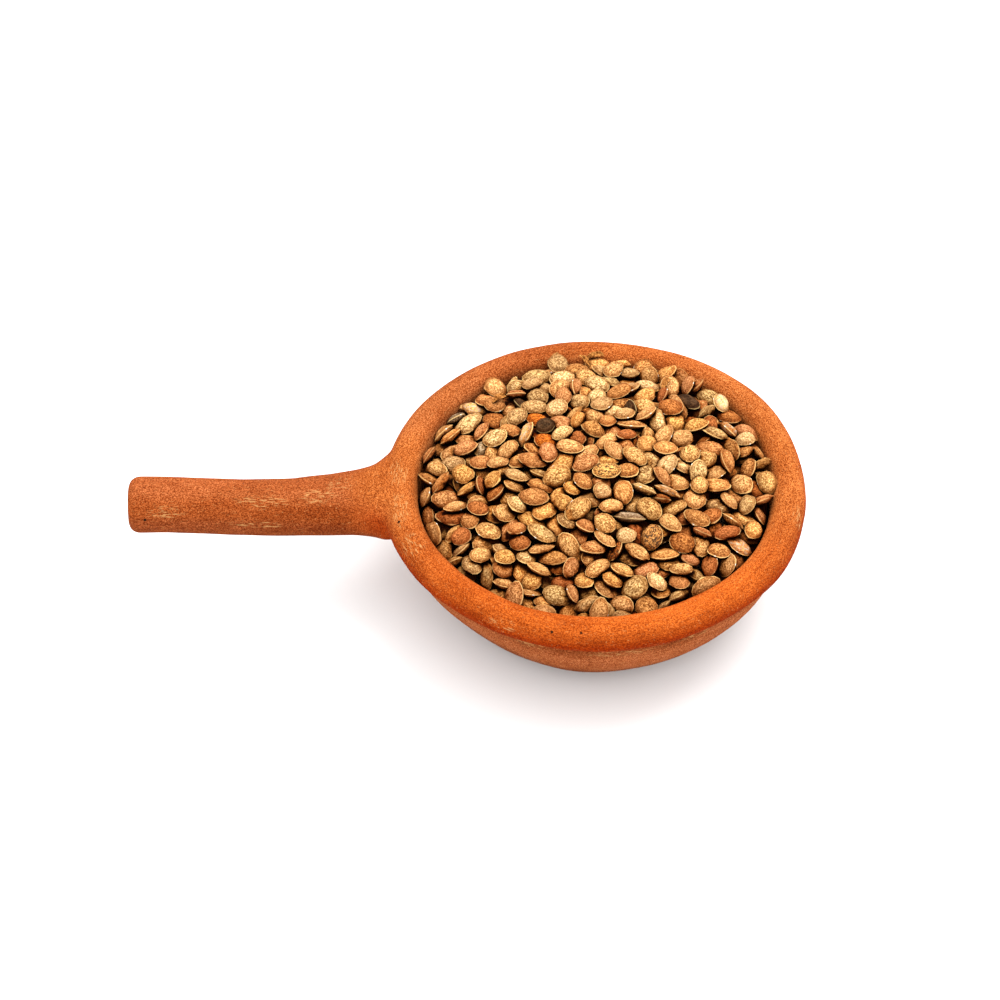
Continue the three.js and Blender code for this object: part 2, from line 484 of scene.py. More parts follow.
def lens_points(rings):
    """Points on the underside of a lens 1 wide and thick: ring radius, count."""
    points = [(0, 0, -0.5)]
    for reach, count in rings:
        for k in range(count):
            turn = 2 * math.pi * k / count
            fall = -0.5 * (1 - reach**4)
            points.append((0.5 * reach * math.cos(turn), 0.5 * reach * math.sin(turn), fall))
    return np.array(points)


def leans(turn, slopes):
    """The 3 by 3 turns of a gram that faces along a turn and leans by slopes."""
    up = np.column_stack([-slopes, np.ones(len(slopes))])
    up /= np.linalg.norm(up, axis=1)[:, None]
    ahead = np.array([math.cos(turn), math.sin(turn), 0.0])
    along = ahead - up * (up @ ahead)[:, None]
    along /= np.linalg.norm(along, axis=1)[:, None]
    return np.stack([along, np.cross(up, along), up], 2)


def around(reach, steps):
    """A square of places this far apart, with so many steps each way."""
    line = np.arange(-steps, steps + 1) * reach
    return np.array([(a, b) for a in line for b in line])


# How far a gram slips, in mm, and tips at each turn as it finds its rest.
SETTLING = [
    (1.0, 0.3),
    (1.0, 0.3),
    (0.8, 0.25),
    (0.6, 0.2),
    (0.5, 0.15),
    (0.3, 0.1),
    (0.3, 0.08),
]
# The rings of points that feel the ground under a gram: reach and count.
FEELERS = [(0.45, 8), (0.75, 12), (0.92, 16), (1.0, 20)]


def settle_gram(ground, size, x, y, turn, slopes, tipping, slipping):
    """Lets one gram slip and tip to where its middle comes lowest."""
    under = lens_points(FEELERS) * size
    for slip, tip in SETTLING:
        shifts = around(slip * slipping, 1)
        tries = slopes + around(tip * tipping, 2)
        turns = leans(turn, tries)
        points = np.einsum("kij,pj->kpi", turns, under)
        px = points[None, :, :, 0] + x + shifts[:, None, None, 0]
        py = points[None, :, :, 1] + y + shifts[:, None, None, 1]
        rests = (ground.read(px, py) - points[None, :, :, 2]).max(2)
        shift, kept = np.unravel_index(rests.argmin(), rests.shape)
        x, y = x + shifts[shift][0], y + shifts[shift][1]
        slopes, turned, z = tries[kept], turns[kept], rests[shift, kept]
    return x, y, z, turned


def pick_gram(luck, small=1.0):
    """The model and the size of the next gram: length, width and thickness."""
    length = float(np.clip(luck.normal(6.3, 0.65), 4.8, 7.8))
    width = min(length * 0.95, max(3.7, luck.normal(4.8, 0.45)))
    size = np.array([length, width, luck.uniform(1.8, 2.6)]) * small
    if luck.random() < SPLIT_SHARE:
        return int(luck.integers(SPLIT_MODELS)), size
    return int(luck.integers(SPLIT_MODELS, GRAM_MODELS)), size


def lay_grams(ground, seed):
    """Lays grams one by one on the lowest spots until the heap is full.

    Returns for each gram the number of its model and its 4 by 4 placing."""
    luck = np.random.default_rng(seed)
    # points so close together that a gram leaves no holes in the ground
    fine = lens_points([(k / 14, 4 * k + 8) for k in range(1, 15)])
    skin = np.vstack([fine, fine * (1, 1, -1)])
    placed = []

    def missing(x, y, spots, least):
        """How much lower than it should be the ground is, from its mean and its
        lowest spot, the latter by a share."""
        near = ground.read(x[:, None] + spots[:, 0], y[:, None] + spots[:, 1])
        near = np.minimum(near, LEVEL_TOP)
        mean, lowest = near.mean(1), near.min(1)
        return heap_height(x, y) - HEAP_LOW - mean * (1 - least) - lowest * least

    def put(number, size, rest, stick_out):
        """Leaves the gram where it rests, unless it sticks out of the heap."""
        x, y, z, turned = rest
        z -= NESTLE
        points = (turned @ (skin * size).T).T + (x, y, z)
        too_high = z > heap_height(x, y) - HEAP_LOW + stick_out
        if too_high or points[:, 2].max() > HIGHEST or math.hypot(x, y) > MOUTH_R:
            return False
        ground.cover(points)
        placing = np.eye(4)
        placing[:3, :3], placing[:3, 3] = turned * size, (x, y, z)
        placed.append((number, Matrix(placing.tolist())))
        return True

    # filling: grams are dropped all over, and the lower places get more of them
    misses, nearby = 0, around(1.5, 1)
    while misses < MOST_MISSES and len(placed) < MOST_GRAMS:
        number, size = pick_gram(luck)
        r = SCATTER_R * np.sqrt(luck.random(DROPS))
        bearing = luck.random(DROPS) * 2 * math.pi
        x, y = r * np.cos(bearing), r * np.sin(bearing)
        depth = missing(x, y, nearby, 0.5)
        pick = (depth + luck.normal(0, 0.5, DROPS)).argmax()
        turn, askew = luck.random() * math.pi, luck.random() < ASKEW_SHARE
        slopes = luck.normal(0, 0.7 if askew else 0.1, 2)
        misses += 1
        if depth[pick] > LEAST_DEPTH[0]:
            tipping = 0.5 if askew else 1.0
            rest = settle_gram(ground, size, x[pick], y[pick], turn, slopes, tipping, 1.0)
            if put(number, size, rest, STICK_OUT[0]):
                misses = 0

    # closing gaps: the deepest place that is left gets a gram, one after another
    spots = around(0.8, 50)
    x, y = spots[np.hypot(*spots.T) < CLOSING_R].T
    left, nearby = np.ones(len(x), bool), around(0.6, 1)
    while len(placed) < MOST_GRAMS:
        depth = np.where(left, missing(x, y, nearby, 0), -9)
        pick = depth.argmax()
        if depth[pick] < LEAST_DEPTH[1]:
            break
        left[pick] = False
        number, size = pick_gram(luck, CLOSING_SIZE)
        slopes = luck.normal(0, 0.1, 2)
        turn = luck.random() * math.pi
        rest = settle_gram(ground, size, x[pick], y[pick], turn, slopes, 1.0, 0.35)
        put(number, size, rest, STICK_OUT[1])
    return placed


# Kinds of gram: name, share of the heap, and the colours of the skin and of the
# blotches on it, in linear light. Kinds without a share are among the odd ones.
GRAM_KINDS = [
    ("straw_grams", 0.12, (0.47, 0.280, 0.108), (0.27, 0.130, 0.040)),
    ("tan_grams", 0.30, (0.43, 0.208, 0.066), (0.21, 0.084, 0.021)),
    ("khaki_grams", 0.13, (0.37, 0.200, 0.070), (0.15, 0.068, 0.021)),
    ("golden_grams", 0.15, (0.46, 0.208, 0.056), (0.25, 0.085, 0.016)),
    ("rosy_grams", 0.08, (0.37, 0.146, 0.048), (0.19, 0.058, 0.015)),
    ("brown_grams", 0.14, (0.35, 0.134, 0.037), (0.15, 0.048, 0.011)),
    ("chestnut_grams", 0.08, (0.28, 0.082, 0.020), (0.12, 0.030, 0.006)),
    ("grey_grams", 0.0, (0.26, 0.172, 0.090), (0.045, 0.026, 0.013)),
    ("dark_grams", 0.0, (0.022, 0.010, 0.004), (0.130, 0.062, 0.024)),
    ("orange_grams", 0.0, (0.36, 0.076, 0.010), (0.18, 0.029, 0.004)),
]
# Odd grams that lie on top: where, and of what kind. The topmost one this near
# to the place is taken.
ODD_NEAR = 3.2
ODD_GRAMS = [
    (-31.0, 24.2, "grey_grams"),
    (6.6, 19.6, "dark_grams"),
    (22.3, 21.9, "dark_grams"),
    (-16.6, 23.4, "dark_grams"),
    (-9.0, 13.4, "dark_grams"),
    (-26.0, 11.6, "grey_grams"),
    (-12.2, 17.5, "orange_grams"),
    (-13.4, 8.8, "orange_grams"),
    (-11.0, 14.6, "orange_grams"),
    (-8.7, -27.5, "chestnut_grams"),
    (10.4, 39.9, "chestnut_grams"),
    (8.0, -17.0, "grey_grams"),
    (-12.8, -37.6, "tan_grams"),
]


def write_attribute(mesh, name, kind, values):
    """Keeps a value with each point of the mesh, for its material to read."""
    layer = mesh.attributes.new(name, kind, "POINT")
    field = "vector" if kind == "FLOAT_VECTOR" else "value"
    layer.data.foreach_set(field, np.asarray(values, float).ravel())


def kinds_by_lot(placed, luck):
    """A kind for each gram by its share, and then the odd ones on top."""
    names = [kind[0] for kind in GRAM_KINDS]
    shares = [kind[1] for kind in GRAM_KINDS]
    kinds = [luck.choices(names, shares)[0] for _ in placed]
    kinds = [
        "orange_grams" if number < SPLIT_MODELS else kind
        for kind, (number, _) in zip(kinds, placed)
    ]
    taken = set()
    for x, y, kind in ODD_GRAMS:
        near = [
            (placing.translation.z, i)
            for i, (_, placing) in enumerate(placed)
            if math.hypot(placing.translation.x - x, placing.translation.y - y) < ODD_NEAR
            and i not in taken
        ]
        if near:
            taken.add(max(near)[1])
            kinds[max(near)[1]] = kind
    return kinds


def heap_grams():
    """The loose grams, one piece for each kind, and the shed skins on them.

    The materials read where each point sits on its own gram (seat), the gram's
    own three lucky numbers (lot), and how far the point is shut in (shut)."""
    luck = random.Random(4)
    models = [model_gram(n, luck) for n in range(GRAM_MODELS)]
    ground = Ground()
    placed = lay_grams(ground, 4)
    by_kind = {kind[0]: [] for kind in GRAM_KINDS}
    scale = Matrix.Diagonal((MM, MM, MM, 1))
    for (number, placing), kind in zip(placed, kinds_by_lot(placed, luck)):
        copy = models[number].copy()
        copy.data = models[number].data.copy()
        local = points_of(copy.data)
        copy.matrix_world = scale @ placing
        lot = [luck.random() for _ in range(3)]
        side = 1 if lot[0] < 0.5 else -1
        write_attribute(copy.data, "seat", "FLOAT_VECTOR", local * (1, side, 1))
        write_attribute(copy.data, "lot", "FLOAT_VECTOR", [lot] * len(local))
        bpy.context.scene.collection.objects.link(copy)
        by_kind[kind].append(copy)
    pieces = []
    for name, copies in by_kind.items():
        select_only(*copies)
        bpy.ops.object.join()
        piece = bpy.context.object
        settle_place(piece)
        piece.name = piece.data.name = name
        shut = ground.shut(points_of(piece.data) / MM)
        write_attribute(piece.data, "shut", "FLOAT", shut)
        pieces.append(piece)
    for model in models:
        bpy.data.objects.remove(model)
    return pieces, curl_husks(ground, luck)


HUSK_THICKNESS = 0.16
HUSK_GROUND = 34  # the highest ground that a shed skin lies on
HUSK_LOT = (0.5, 0.5, 0.7)  # its lucky numbers
HUSK_SEAT = 6  # to its material it sits on a gram of this length
HUSK_COLOURS = ((0.46, 0.22, 0.060), (0.28, 0.105, 0.022))
# Shed skins on the heap: where, how it is turned, its length and its width.
HUSKS = [
    ((0.6, 40.6), 0.2, 4.8, 2.4),
    ((-1.6, 39.0), -0.9, 3.6, 1.8),
    ((17.0, 27.5), 1.1, 4.2, 2.4),
    ((-21.5, 24.5), 0.5, 3.8, 2.2),
    ((-6.0, -15.0), 1.7, 3.4, 2.0),
]


def curl_husks(ground, luck):
    """Thin shed skins, each a leaf of skin curled up as it dried."""
    leaves = []
    for (x, y), turn, length, width in HUSKS:
        bpy.ops.object.select_all(action="DESELECT")
        bpy.ops.mesh.primitive_grid_add(x_subdivisions=9, y_subdivisions=6, size=1)
        leaf = bpy.context.object
        points = points_of(leaf.data)
        u, v = points[:, 0], points[:, 1]
        # narrow at both ends and bent, then curled across and wavy along
        v = v * np.sqrt(np.clip(1 - (1.9 * u) ** 2, 0.05, 1)) + 0.10 * np.sin(5 * u)
        curl, wave = luck.uniform(2.4, 3.6), luck.uniform(0, 3)
        across = v * width
        radius = width / curl
        side = radius * np.sin(across / radius)
        rise = radius * (1 - np.cos(across / radius)) + 0.35 * np.sin(4 * u + wave)
        rise = rise + 0.2 * np.sin(9 * u + 7 * v)
        c, s = math.cos(turn), math.sin(turn)
        px, py = u * length * c - side * s + x, u * length * s + side * c + y
        base = np.max(np.minimum(ground.read(px, py), HUSK_GROUND) - rise) + 0.1
        set_points(leaf.data, np.column_stack([px, py, base + rise]) * MM)
        apply_modifier(leaf, "SOLIDIFY", thickness=HUSK_THICKNESS * MM, offset=0)
        apply_modifier(leaf, "SUBSURF", levels=1, render_levels=1)
        leaves.append(leaf)
    select_only(*leaves)
    bpy.ops.object.join()
    husks = bpy.context.object
    husks.name = husks.data.name = "shed_skins"
    husks.data.shade_smooth()
    points = points_of(husks.data)
    write_attribute(husks.data, "seat", "FLOAT_VECTOR", points / MM / HUSK_SEAT)
    write_attribute(husks.data, "lot", "FLOAT_VECTOR", [HUSK_LOT] * len(points))
    write_attribute(husks.data, "shut", "FLOAT", [0.0] * len(points))
    return husks


# The core's rings as radius and height, up the wall of the bowl, and the radii
# of its rings under the heap. What is higher than the wall's top is tilted.
CORE_WALL = [(24.0, 6.9), (30.0, 8.0), (34.0, 11.0), (36.8, 15.0), (38.0, 17.5)]
CORE_TOP = (38.3, 34, 28, 20, 10, 3)
CORE_TILTED = 19
CORE_LOW = 0.3  # under the ground that the grams were laid on
CORE_SIDES = 64


def pack_core():
    """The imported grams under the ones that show: a mound that fills the bowl."""
    radius, height = CORE_WALL[0]
    bpy.ops.object.select_all(action="DESELECT")
    bpy.ops.mesh.primitive_circle_add(
        vertices=CORE_SIDES,
        radius=radius * MM,
        fill_type="NGON",
        location=(0, 0, height * MM),
    )
    core = bpy.context.object
    settle_place(core)
    core.name = core.data.name = "packed_core"
    edit()
    bpy.ops.mesh.select_all(action="SELECT")
    under = LOOSE_DEPTH + CORE_LOW
    top = [(r, HEAP_PEAK - HEAP_FALL * r * r - under) for r in CORE_TOP]
    raise_rings(CORE_WALL + top)
    bpy.ops.mesh.select_all(action="SELECT")
    bpy.ops.mesh.normals_make_consistent(inside=False)
    edit(False)
    points = points_of(core.data)
    x, y, z = points.T
    tilt = HEAP_TILT_X * x + HEAP_TILT_Y * y
    points[:, 2] = np.where(z > CORE_TILTED * MM, z + tilt, z)
    set_points(core.data, points)
    core.data.shade_smooth()
    return core


# ------------------------------------------------------------- the materials
class Wire:
    """A value in a material, so that sums on it are written as sums."""

    def __init__(self, finish, socket):
        self.finish, self.socket = finish, socket

    def _sum(self, operation, first, second):
        return self.finish.node(
            "ShaderNodeMath", {"operation": operation}, {0: first, 1: second}
        )

    def __add__(self, other):
        return self._sum("ADD", self, other)

    __radd__ = __add__

    def __sub__(self, other):
        return self._sum("SUBTRACT", self, other)

    def __rsub__(self, other):
        return self._sum("SUBTRACT", other, self)

    def __mul__(self, other):
        return self._sum("MULTIPLY", self, other)

    __rmul__ = __mul__


class Finish:
    """A material and the one way that its nodes are added."""

    def __init__(self, name):
        self.material = bpy.data.materials.new(name)
        self.material.use_nodes = True
        self.tree = self.material.node_tree
        self.tree.nodes.clear()

    def node(self, kind, settings=None, values=None, out=0):
        made = self.tree.nodes.new(kind)
        for name, value in (settings or {}).items():
            setattr(made, name, value)
        for name, value in (values or {}).items():
            socket = made.inputs[name]
            if isinstance(value, Wire):
                self.tree.links.new(value.socket, socket)
            else:
                socket.default_value = value
        return Wire(self, made.outputs[out])

    def object_place(self):
        return self.node("ShaderNodeTexCoord", out="Object")

    def attribute(self, name, out):
        return self.node("ShaderNodeAttribute", {"attribute_name": name}, out=out)

    def split(self, vector):
        """The three parts of a vector or a place."""
        part = self.node("ShaderNodeSeparateXYZ", None, {0: vector}).socket.node
        return [Wire(self, part.outputs[k]) for k in range(3)]

    def reach(self, vector, axes):
        """The length of a vector along the axes that are 1."""
        kept = self.node(
            "ShaderNodeVectorMath", {"operation": "MULTIPLY"}, {0: vector, 1: axes}
        )
        return self.node(
            "ShaderNodeVectorMath", {"operation": "LENGTH"}, {0: kept}, out="Value"
        )

    def stretch(self, vector, scale, shift=(0, 0, 0)):
        return self.node(
            "ShaderNodeMapping", None, {"Vector": vector, "Scale": scale, "Location": shift}
        )

    def noise(self, vector, scale, detail=2.0, rough=0.5):
        return self.node(
            "ShaderNodeTexNoise",
            None,
            {"Vector": vector, "Scale": scale, "Detail": detail, "Roughness": rough},
        )

    def between(self, value, low, high):
        """0 below low, 1 above high, smooth between."""
        return self.node(
            "ShaderNodeMapRange",
            {"interpolation_type": "SMOOTHSTEP"},
            {"Value": value, "From Min": low, "From Max": high},
        )

    def blend(self, share, first, second, way="MIX"):
        """Two colours, the second one by a share of 0 to 1."""
        return self.node(
            "ShaderNodeMix",
            {"data_type": "RGBA", "blend_type": way},
            {0: share, 6: first, 7: second},
            out=2,
        )

    def tint(self, colour, share, by):
        """The colour, multiplied by another one as far as the share says."""
        return self.blend(share, colour, rgba(by), "MULTIPLY")

    def bump(self, height, distance, strength=1.0):
        return self.node(
            "ShaderNodeBump",
            None,
            {"Height": height, "Distance": distance, "Strength": strength},
        )

    def surface(self, colour, roughness, normal=None, **constants):
        shader = self.tree.nodes.new("ShaderNodeBsdfPrincipled")
        for name, value in (("Base Color", colour), ("Roughness", roughness)):
            if isinstance(value, Wire):
                self.tree.links.new(value.socket, shader.inputs[name])
            else:
                shader.inputs[name].default_value = value
        for name, value in constants.items():
            shader.inputs[name.replace("_", " ")].default_value = value
        if normal:
            self.tree.links.new(normal.socket, shader.inputs["Normal"])
        output = self.tree.nodes.new("ShaderNodeOutputMaterial")
        self.tree.links.new(shader.outputs[0], output.inputs[0])
        return self.material


def rgba(colour):
    return tuple(colour) + (1.0,)


# Pinholes in the clay: where, in mm.
PITS = [(-9.95, -45.6, 28.7), (-3.6, -46.2, 29.0), (-43.9, -12.9, 29.5), (-101.5, -6.5, 23.7)]
# Where the skin is worn through to straw and sand: the middle, and how far, in mm.
WORN = [
    ((-75.0, -4.3, 27.2), (8.0, 2.4, 2.4)),
    ((-62.5, -3.6, 28.2), (6.0, 2.6, 2.2)),
    ((-57.0, -0.6, 29.4), (5.0, 3.0, 2.4)),
    ((-76.0, -7.0, 22.8), (9.0, 2.5, 1.3)),
    ((-97.0, -6.0, 25.4), (6.0, 2.5, 2.6)),
    ((-44.4, 2.5, 30.0), (3.0, 6.0, 3.0)),
    ((-43.9, -9.5, 29.8), (3.2, 7.5, 3.2)),
    ((-40.5, -20.0, 29.5), (4.0, 5.0, 3.0)),
    ((-16.5, -41.0, 20.2), (9.0, 4.0, 1.7)),
    ((6.0, -44.5, 19.6), (11.0, 4.0, 1.5)),
    ((24.0, -39.0, 20.6), (8.0, 5.0, 3.0)),
    ((45.6, -11.0, 28.7), (2.5, 5.0, 2.0)),
    ((-20.0, -42.5, 27.8), (7.0, 3.0, 1.5)),
]


def terracotta():
    """Unglazed fired clay: fine grain, wiping marks, worn straw, small pits, with painted light
    and shade by side, underneath and in hollows.
    """
    clay = Finish("terracotta")
    place = clay.object_place()
    x, y, z = clay.split(place)
    out = clay.reach(place, (1, 1, 0))
    turn = clay.node("ShaderNodeMath", {"operation": "ARCTAN2"}, {0: x, 1: 0 - y})
    round_place = clay.node("ShaderNodeCombineXYZ", None, {0: turn * 0.045, 1: out, 2: z})
    bowl = 1 - clay.between(out, 0.049, 0.058)

    def drawn(along, across, detail, rough=0.6):
        """Noise drawn out along the handle and round the bowl."""
        handle_noise, bowl_noise = [
            clay.noise(clay.stretch(way, (along, across, across)), 1, detail, rough)
            for way in (place, round_place)
        ]
        return clay.node(
            "ShaderNodeMix", {"data_type": "FLOAT"}, {0: bowl, 2: handle_noise, 3: bowl_noise}
        )

    tint = clay.tint

    cloud = clay.noise(place, 60, 3, 0.6)
    smudge = drawn(50, 190, 3)
    wipe = drawn(220, 1500, 3, 0.7)
    grain = drawn(3200, 4800, 1, 0.7)
    raised = clay.between(z, 0.0205, 0.0225)
    on_lip = bowl * raised
    front = 1 - clay.between(y, -0.036, -0.004)
    gritty = 0.88 - on_lip * front * 0.2
    sand = clay.noise(place, 5200, 1, 0.6)
    fibre = drawn(560, 3800, 1)
    fleck = clay.noise(place, 2400, 1, 0.6)

    # the handle, with painted shade: darker underneath, in a band along its middle, and low
    # down towards the bowl
    colour = clay.blend(
        1 - clay.between(z, 0.0215, 0.0285),
        rgba((0.224, 0.0485, 0.0105)),
        rgba((0.180, 0.036, 0.0080)),
    )
    # painted shade low on the handle towards the bowl
    deep = clay.between(x, -0.076, -0.060) * (1 - clay.between(z, 0.0255, 0.0275))
    colour = clay.blend(deep * 0.6, colour, rgba((0.196, 0.038, 0.0080)))
    # painted shade in a band along the handle's middle, below its lit top
    side = clay.between(z, 0.0225, 0.0250) * (1 - clay.between(z, 0.0265, 0.0285))
    colour = clay.blend(side * 0.6, colour, rgba((0.205, 0.037, 0.0050)))
    # the lip, with painted light and shade by side: paler at the back and the far right, redder
    # and deeper in front, darker at the left and the far back, over a painted shadow where it
    # turns under
    lip = clay.blend(front, rgba((0.302, 0.075, 0.0135)), rgba((0.318, 0.059, 0.0064)))
    painted_shade_far_left = clay.between(y, 0.008, 0.022) * (1 - clay.between(x, -0.018, 0.008))
    lip = tint(lip, painted_shade_far_left, (0.83, 0.81, 0.95))
    painted_light_far_right = clay.between(y, 0.012, 0.026) * clay.between(x, 0.010, 0.026)
    lip = tint(lip, painted_light_far_right, (1.08, 1.14, 1.30))
    painted_shade_near_left = (1 - clay.between(y, -0.030, -0.012)) * (1 - clay.between(x, -0.032, -0.014))
    lip = tint(lip, painted_shade_near_left, (0.89, 0.86, 0.85))
    # painted shade at the far back of the lip
    lip = tint(lip, clay.between(y, 0.030, 0.042), (0.97, 0.90, 0.87))
    colour = clay.blend(on_lip, colour, lip)
    outside = clay.between(out, 0.0435, 0.0455) * bowl
    neck = (1 - clay.between(x, -0.045, -0.038)) * clay.between(y, -0.018, -0.011)
    # painted shade on the outside of the lip where it turns under, a little less at the neck
    painted_shade_under_lip = (1 - clay.between(z, 0.0256, 0.0297)) * outside * (1 - neck * 0.1)
    colour = clay.blend(painted_shade_under_lip * 0.95, colour, rgba((0.182, 0.0155, 0.0003)))
    # the belly, dull, with painted shade close under the lip
    belly = (1 - raised) * bowl
    colour = clay.blend(belly, colour, rgba((0.256, 0.0635, 0.0170)))
    colour = tint(colour, belly * clay.between(z, 0.0172, 0.0205) * 0.7, (0.55, 0.42, 0.28))
    # painted shade on the inner wall of the bowl, under the lip
    wall = (1 - clay.between(out, 0.0400, 0.0415)) * (1 - clay.between(z, 0.0285, 0.0300))
    colour = tint(colour, wall * bowl, (0.70, 0.76, 0.85))

    # clouds, smudges and wiping marks
    colour = tint(colour, clay.between(cloud, 0.35, 0.65) * 0.5, (1.20, 1.30, 1.45))
    colour = tint(colour, clay.between(1 - cloud, 0.35, 0.65) * 0.5, (0.84, 0.78, 0.70))
    colour = tint(colour, clay.between(smudge, 0.50, 0.66) * 0.5, (0.74, 0.62, 0.50))
    colour = tint(colour, clay.between(1 - smudge, 0.50, 0.68) * 0.5, (1.15, 1.28, 1.45))
    colour = tint(colour, clay.between(wipe, 0.50, 0.64) * 0.5, (0.74, 0.64, 0.54))
    colour = tint(colour, clay.between(1 - wipe, 0.50, 0.64) * 0.5, (1.18, 1.30, 1.48))

    # grain and pale flecks
    colour = tint(colour, clay.between(grain, 0.50, 0.60) * gritty, (1.58, 1.95, 2.5))
    colour = tint(colour, clay.between(1 - grain, 0.50, 0.60) * gritty, (0.44, 0.30, 0.18))
    colour = tint(colour, clay.between(sand, 0.50, 0.60) * 0.35, (1.35, 1.55, 1.9))
    colour = tint(colour, clay.between(1 - sand, 0.50, 0.60) * 0.35, (0.62, 0.48, 0.34))
    colour = clay.blend(clay.between(fleck, 0.69, 0.75) * 0.5, colour, rgba((0.52, 0.25, 0.09)))
    colour = tint(colour, 1.0, (0.99, 0.968, 0.935))

    # worn places, where straw and sand show
    worn = 0.0
    for spot, reach in WORN:
        away = clay.stretch(
            place,
            tuple(1 / (r * MM) for r in reach),
            tuple(-c / r for c, r in zip(spot, reach)),
        )
        worn = (1 - clay.between(clay.reach(away, (1, 1, 1)), 0.35, 1.0)) + worn
    worn = clay.between(worn, 0.0, 1.0)
    bare = clay.between(fibre, 0.54, 0.64) * worn + clay.between(fibre, 0.66, 0.72) * 0.4
    colour = clay.blend(bare * 0.5, colour, rgba((0.50, 0.245, 0.085)))
    colour = tint(colour, worn * 0.2, (1.08, 1.25, 1.4))

    # pinholes: a shallow dent in the bump, and painted shade inside them
    pits = 1 - clay.between(
        clay.node("ShaderNodeTexVoronoi", None, {"Vector": place, "Scale": 85.0}), 0.008, 0.022
    )
    for spot in PITS:
        away = clay.node(
            "ShaderNodeVectorMath",
            {"operation": "DISTANCE"},
            {0: place, 1: tuple(c * MM for c in spot)},
            out="Value",
        )
        pits = pits + (1 - clay.between(away, 0.00020, 0.00045))
    pits = clay.between(pits, 0.0, 1.0)
    colour = clay.blend(pits, colour, rgba((0.02, 0.008, 0.004)))
    height = grain * 0.5 + wipe * 0.8 + cloud * 0.6 + smudge * 0.6 + bare * 0.3 - pits * 2.5
    return clay.surface(
        colour,
        clay.between(wipe, 0.2, 0.8) * 0.12 + 0.82,
        clay.bump(height, 0.00024, 0.8),
        Specular_IOR_Level=0.02,
    )


TOUCH_REACH = 0.0008  # metres from where two grams touch, and it is dark no more


def gram_skin(name, face, blotch):
    """A dry seed skin: leathery and blotched, a pale rim that is partly painted highlight, a
    white scar, and painted shade at the edge, where grams are shut in and where they touch.
    """
    skin = Finish(name + "_skin")
    seat = skin.attribute("seat", "Vector")
    lot = skin.attribute("lot", "Vector")
    shut = skin.attribute("shut", "Fac")
    first, second, third = skin.split(lot)
    place = skin.node(
        "ShaderNodeVectorMath",
        {"operation": "MULTIPLY_ADD"},
        {0: lot, 1: (37.0, 53.0, 71.0), 2: seat},
    )
    cloud = skin.noise(place, 2.4, 2, 0.5)
    mottle = skin.noise(place, 6.5, 2, 0.7)
    freckle = skin.noise(place, 13.0, 1, 0.6)
    speck = skin.noise(place, 21.0, 1, 0.7)
    # the skin's tone, a little different on each gram, and its blotches
    tone = skin.node(
        "ShaderNodeHueSaturation",
        None,
        {
            "Hue": first * 0.010 + 0.4995,
            "Saturation": 1.0,
            "Value": third * 0.26 + 1.00,
            "Color": rgba(face),
        },
    )
    spots = skin.blend(0.2, rgba(blotch), tone)
    colour = skin.blend(skin.between(cloud, 0.42, 0.62) * 0.35, tone, spots)
    colour = skin.blend(
        skin.between(mottle, 0.49, 0.58) * (second * 0.5 + 0.35), colour, spots
    )
    # dark and pale freckles, and specks finer than these
    colour = skin.tint(
        colour, skin.between(freckle, 0.50, 0.60) * (first * 0.4 + 0.35), (0.46, 0.33, 0.21)
    )
    colour = skin.tint(colour, skin.between(1 - freckle, 0.52, 0.62) * 0.55, (1.65, 1.74, 1.90))
    colour = skin.tint(colour, skin.between(speck, 0.50, 0.60) * 0.66, (0.45, 0.33, 0.22))
    colour = skin.tint(colour, skin.between(1 - speck, 0.50, 0.60) * 0.66, (1.60, 1.68, 1.90))
    colour = skin.tint(colour, 1.0, (0.975, 0.985, 1.07))
    # some are black-freckled, some dusted white
    colour = skin.blend(
        skin.between(first * second, 0.86, 0.88) * skin.between(freckle, 0.50, 0.58) * 0.85,
        colour,
        rgba((0.05, 0.028, 0.016)),
    )
    colour = skin.blend(
        skin.between(second * third, 0.86, 0.88) * skin.between(mottle, 0.50, 0.60) * 0.6,
        colour,
        rgba((0.62, 0.50, 0.36)),
    )
    # painted shade darkening towards the edge, a pale ridge round it that is partly its own
    # margin and partly painted highlight, and a white scar
    out = skin.reach(seat, (1, 1, 0))
    thick = skin.reach(seat, (0, 0, 1))
    # painted shade towards the rim of each face
    edge = skin.between(out, 0.27, 0.46)
    colour = skin.tint(colour, edge * (third * 0.3 + 0.5), (0.46, 0.29, 0.15))
    # the skin's paler margin at the rim, with painted highlight on it
    pale_margin_and_highlight = (1 - skin.between(thick, 0.02, 0.09)) * skin.between(out, 0.445, 0.480)
    colour = skin.blend(
        pale_margin_and_highlight * (second * 0.5 + 0.35), colour, skin.blend(0.5, tone, rgba((0.92, 0.62, 0.25)))
    )
    scar_place = skin.node(
        "ShaderNodeVectorMath",
        {"operation": "MULTIPLY_ADD"},
        {0: seat, 1: (11.0, 20.0, 9.0), 2: (0.0, 9.7, 0.0)},
    )
    scar = 1 - skin.between(skin.reach(scar_place, (1, 1, 1)), 0.40, 0.62)
    colour = skin.blend(scar * 0.8, colour, rgba((0.8, 0.74, 0.62)))
    # painted shade, warm and then dark, where grams shut each other in, and dark where they
    # touch
    colour = skin.tint(colour, skin.between(shut, 0.15, 0.60) * 0.85, (0.66, 0.44, 0.23))
    colour = skin.tint(colour, skin.between(shut, 0.45, 1.0), (0.05, 0.025, 0.012))
    crease = 1 - skin.node(
        "ShaderNodeAmbientOcclusion", {"samples": 4}, {"Distance": TOUCH_REACH}, out="AO"
    )
    colour = skin.tint(colour, skin.between(crease, 0.18, 0.52), (0.08, 0.034, 0.012))
    height = cloud * 1.2 + mottle * 0.45 + freckle * 0.2 + speck * 0.1
    return skin.surface(
        colour,
        skin.between(mottle, 0.3, 0.7) * 0.18 + 0.5,
        skin.bump(height, 0.00032, 0.9),
        Specular_IOR_Level=0.008,
    )


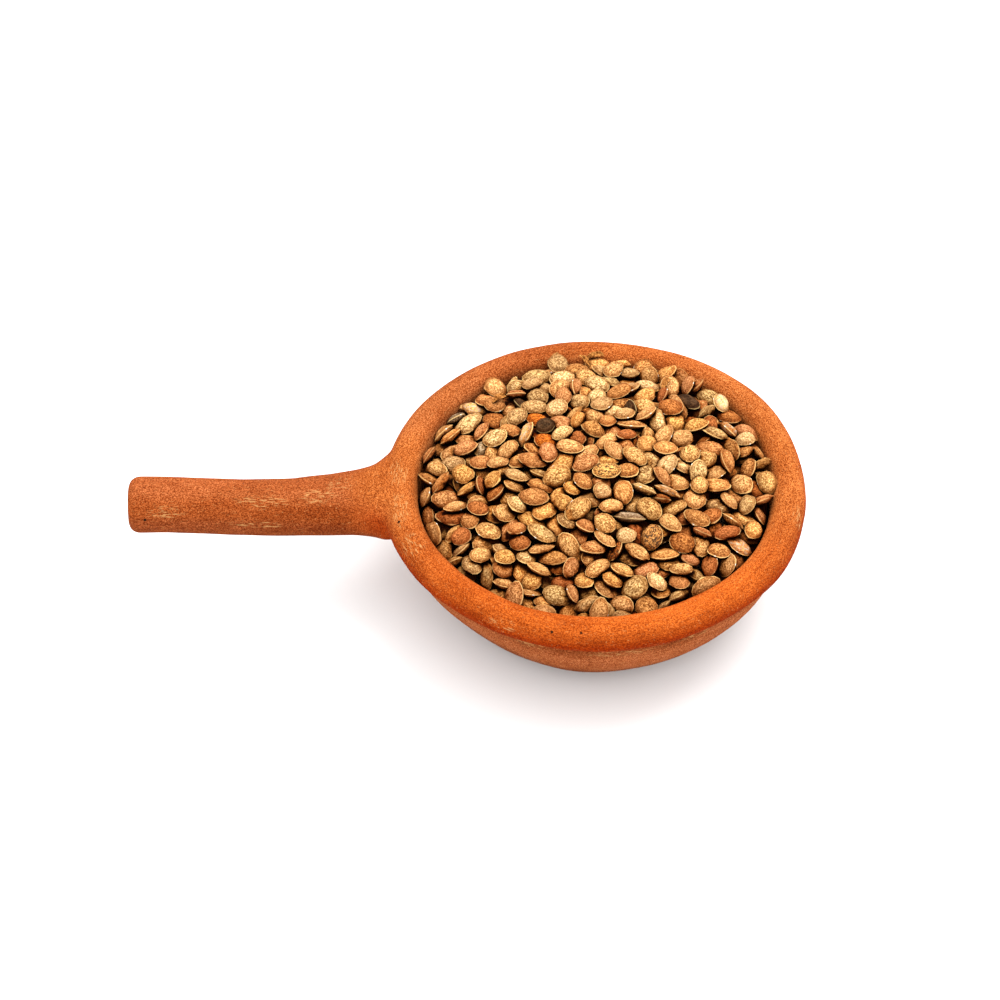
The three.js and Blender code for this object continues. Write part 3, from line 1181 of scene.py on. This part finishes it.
def core_in_shade():
    """Grams out of the light, deep in the heap: near black, painted shade."""
    shade_finish = Finish("core_in_shade")
    place = shade_finish.object_place()
    lumps = shade_finish.noise(place, 300, 2, 0.6)
    colour = shade_finish.blend(lumps, rgba((0.012, 0.006, 0.003)), rgba((0.04, 0.018, 0.007)))
    return shade_finish.surface(colour, 0.9, shade_finish.bump(lumps, 0.001))


def pale_floor():
    floor = Finish("pale_floor")
    return floor.surface(rgba([FLOOR_TONE] * 3), 0.9, Specular_IOR_Level=0.0)


# ------------------------------------------------------------------ the room
def set_stage():
    bpy.ops.object.select_all(action="DESELECT")
    bpy.ops.mesh.primitive_plane_add(size=FLOOR_SIZE)
    floor = bpy.context.object
    floor.name = "floor"
    floor.data.materials.append(pale_floor())


def set_lights():
    scene = bpy.context.scene
    world = bpy.data.worlds.new("studio")
    world.use_nodes = True
    sky = world.node_tree.nodes["Background"]
    sky.inputs["Color"].default_value = (1, 1, 1, 1)
    sky.inputs["Strength"].default_value = SKY_STRENGTH
    scene.world = world
    data = bpy.data.lights.new("soft_box", "AREA")
    data.shape = "RECTANGLE"
    data.size = data.size_y = LAMP_SIZE
    data.energy = LAMP_WATTS
    lamp = bpy.data.objects.new("soft_box", data)
    lamp.location = LAMP_PLACE
    aim = Vector((0, 0, 0)) - lamp.location
    lamp.rotation_euler = aim.to_track_quat("-Z", "Y").to_euler()
    scene.collection.objects.link(lamp)
    scene.view_settings.view_transform = "Standard"
    scene.view_settings.look = "None"


def dress(piece, material):
    piece.data.materials.clear()
    piece.data.materials.append(material)


# ------------------------------------------------------------------ assembly
set_camera()
grams, husks = heap_grams()
core = pack_core()
clay = shape_clay()

for piece, (name, _, face, blotch) in zip(grams, GRAM_KINDS):
    dress(piece, gram_skin(name, face, blotch))
dress(husks, gram_skin("husk", *HUSK_COLOURS))
dress(core, core_in_shade())
dress(clay, terracotta())

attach(clay, "root")
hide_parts("clay_bowl")
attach(core, "root")
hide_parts("gram_heap")
for piece in grams + [husks]:
    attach(piece, "root")

set_stage()
set_lights()
